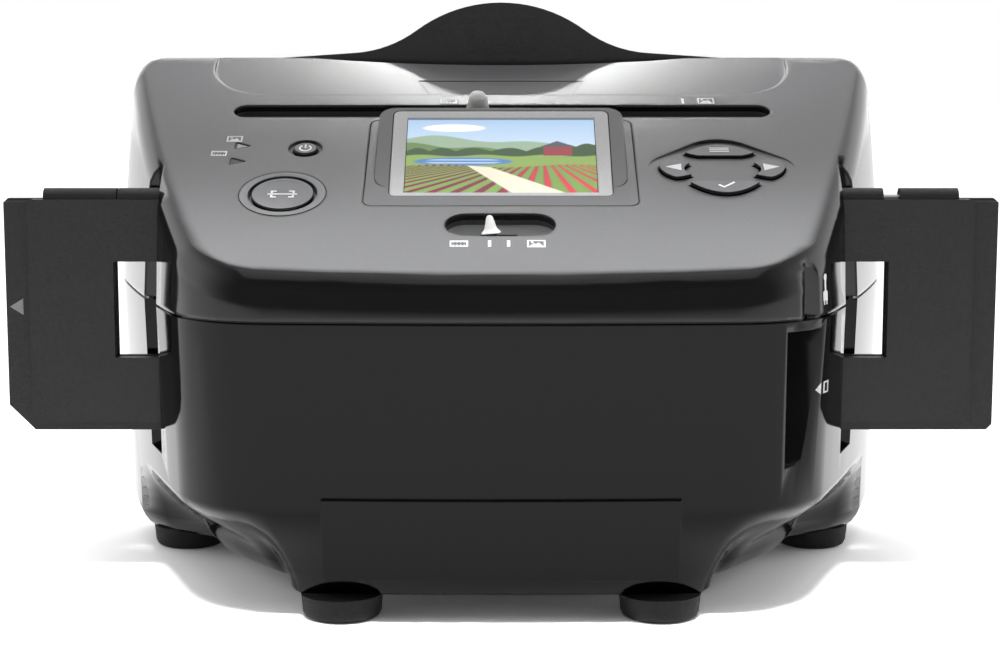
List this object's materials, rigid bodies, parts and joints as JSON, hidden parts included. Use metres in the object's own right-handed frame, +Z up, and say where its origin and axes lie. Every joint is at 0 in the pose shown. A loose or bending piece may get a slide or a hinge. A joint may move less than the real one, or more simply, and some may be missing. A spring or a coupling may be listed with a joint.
{
  "type": "film negative scanner",
  "caption": "Desktop film and photo scanner with a sloped control panel, a two-leaf slide holder that passes through its sides, and a photo tray in its top.",
  "frame": {"origin": "on the table under the middle of the bounding box", "axes": "+Z up, -Y towards the person who uses the sloped panel, +X to that person's right"},
  "size_m": [0.263, 0.125, 0.1546],
  "materials": {
    "housing_grey": "satin",
    "housing_black": "gloss",
    "base": "matte",
    "rubber": "matte",
    "steel": "satin",
    "pod": "satin",
    "bezel": "satin",
    "screen": "gloss",
    "ring": "satin",
    "smoked_window": "gloss",
    "board": "matte",
    "chips": "matte",
    "inner_black": "matte",
    "holder_black": "pebbled",
    "light_panel": "matte",
    "lever": "satin",
    "lens": "gloss",
    "button": "satin"
  },
  "bodies": {
    "housing": {"upper_shell": "housing_grey", "lower_shell": "housing_black", "base_plate": "base", "feet": "rubber", "base_screws": "steel", "screen_pod": "pod", "screen_bezel": "bezel", "lcd_panel": "screen", "scan_ring": "ring", "status_windows": "smoked_window", "light_slot_liner": "inner_black", "focus_slot_liner": "inner_black", "usb_socket": "steel", "card_socket": "steel", "port_board": "board", "main_board": "board", "main_board_chips": "chips", "camera_bracket": "inner_black", "camera_housing": "inner_black", "sensor_board": "board", "film_guide": "inner_black", "light_rail": "steel", "photo_guides": "inner_black", "photo_lights": "light_panel"},
    "film_holder": {"film_tray": "holder_black", "film_cover": "holder_black", "film_hinge_pin": "steel"},
    "photo_tray": {"photo_tray": "holder_black"},
    "light_carriage": {"light_carriage": "inner_black", "light_lever": "lever", "light_panel": "light_panel"},
    "focus_ring": {"focus_ring": "inner_black", "lens_barrel": "inner_black", "lens_glass": "lens", "focus_lever": "lever"},
    "scan_button": {"scan_button": "button"},
    "power_button": {"power_button": "button"},
    "mode_button": {"mode_button": "button"},
    "enter_button": {"enter_button": "button"},
    "left_button": {"left_button": "button"},
    "right_button": {"right_button": "button"}
  },
  "joints": [
    {"name": "film_holder_slide", "type": "slide", "parent": "housing", "child": "film_holder", "axis": [1, 0, 0], "range_m": [-0.24, 0.24]},
    {"name": "photo_tray_lift", "type": "slide", "parent": "housing", "child": "photo_tray", "axis": [0, 0, 1], "range_m": [0, 0.12]},
    {"name": "light_slide", "type": "slide", "parent": "housing", "child": "light_carriage", "axis": [1, 0, 0], "range_m": [0, 0.0568]},
    {"name": "focus_turn", "type": "hinge", "parent": "housing", "child": "focus_ring", "pos_m": [0, -0.04, 0.0732], "axis": [0, 1, 0], "range_deg": [0, 10.9]},
    {"name": "scan_press", "type": "slide", "parent": "housing", "child": "scan_button", "axis": [0, 0.4384, -0.8988], "range_m": [0, 0.0005], "stiffness_N_per_m": 400},
    {"name": "power_press", "type": "slide", "parent": "housing", "child": "power_button", "axis": [0, 0.4384, -0.8988], "range_m": [0, 0.0005], "stiffness_N_per_m": 400},
    {"name": "mode_press", "type": "slide", "parent": "housing", "child": "mode_button", "axis": [0, 0.4384, -0.8988], "range_m": [0, 0.0005], "stiffness_N_per_m": 400},
    {"name": "enter_press", "type": "slide", "parent": "housing", "child": "enter_button", "axis": [0, 0.4384, -0.8988], "range_m": [0, 0.0005], "stiffness_N_per_m": 400},
    {"name": "left_press", "type": "slide", "parent": "housing", "child": "left_button", "axis": [0, 0.4384, -0.8988], "range_m": [0, 0.0005], "stiffness_N_per_m": 400},
    {"name": "right_press", "type": "slide", "parent": "housing", "child": "right_button", "axis": [0, 0.4384, -0.8988], "range_m": [0, 0.0005], "stiffness_N_per_m": 400}
  ]
}
